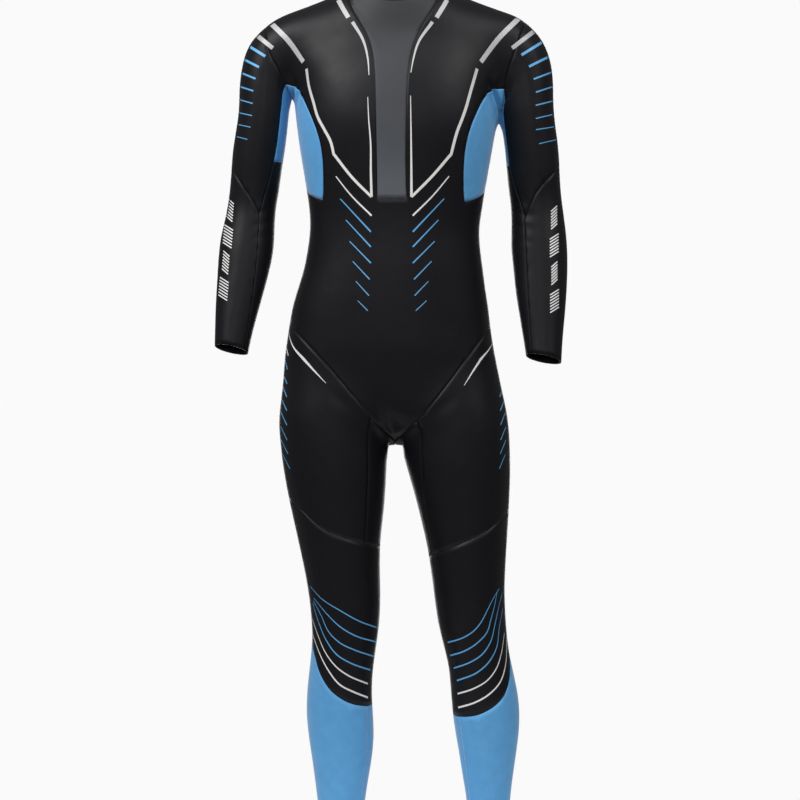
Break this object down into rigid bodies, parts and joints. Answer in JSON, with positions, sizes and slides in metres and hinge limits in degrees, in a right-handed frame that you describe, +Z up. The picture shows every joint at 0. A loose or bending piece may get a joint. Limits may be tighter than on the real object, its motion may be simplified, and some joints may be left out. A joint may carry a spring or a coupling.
{
  "type": "wetsuit",
  "caption": "Full-length long-sleeved triathlon wetsuit in black with blue panels, filled out as worn, with a back zip.",
  "frame": {"origin": "in the middle of the neck opening, where a neck and shoulders hold the suit up", "axes": "+Z up along the height of the suit, +X towards the wearer's left, the chest faces -Y"},
  "size_m": [0.5627, 0.244, 1.4345],
  "materials": {
    "black_rubber": "smooth skin neoprene, satin",
    "blue_jersey": "fine knit face on neoprene, matte",
    "grey_rubber": "thin smooth neoprene, matte",
    "zip_tape": "woven tape",
    "zip_coil": "moulded nylon",
    "zip_metal": "dark satin metal",
    "print_blue": "printed ink",
    "print_silver": "printed ink"
  },
  "bodies": {
    "suit": {"chest_strip": "grey_rubber", "front_body": "black_rubber", "back_right": "black_rubber", "back_left": "black_rubber", "lower_back": "black_rubber", "side_panel_right": "blue_jersey", "side_panel_left": "blue_jersey", "collar_right": "black_rubber", "collar_left": "black_rubber", "sleeve_upper_right": "black_rubber", "sleeve_upper_left": "black_rubber", "sleeve_gusset_right": "blue_jersey", "sleeve_gusset_left": "blue_jersey", "forearm_outer_right": "black_rubber", "forearm_outer_left": "black_rubber", "forearm_inner_right": "black_rubber", "forearm_inner_left": "black_rubber", "thigh_front_right": "black_rubber", "thigh_front_left": "black_rubber", "thigh_inner_right": "black_rubber", "thigh_inner_left": "black_rubber", "thigh_back_right": "black_rubber", "thigh_back_left": "black_rubber", "knee_right": "black_rubber", "knee_left": "black_rubber", "calf_outer_right": "blue_jersey", "calf_outer_left": "blue_jersey", "calf_inner_right": "blue_jersey", "calf_inner_left": "blue_jersey", "zip_tape_right": "zip_tape", "zip_tape_left": "zip_tape", "zip_coil": "zip_coil", "zip_slider": "zip_metal"},
    "pull_tab": {"pull_tab": "zip_metal"}
  },
  "joints": [
    {"name": "pull_tab_hinge", "type": "hinge", "parent": "suit", "child": "pull_tab", "pos_m": [0, 0.07312, 0.04424], "axis": [1, 0, 0], "range_deg": [0, 150]}
  ]
}
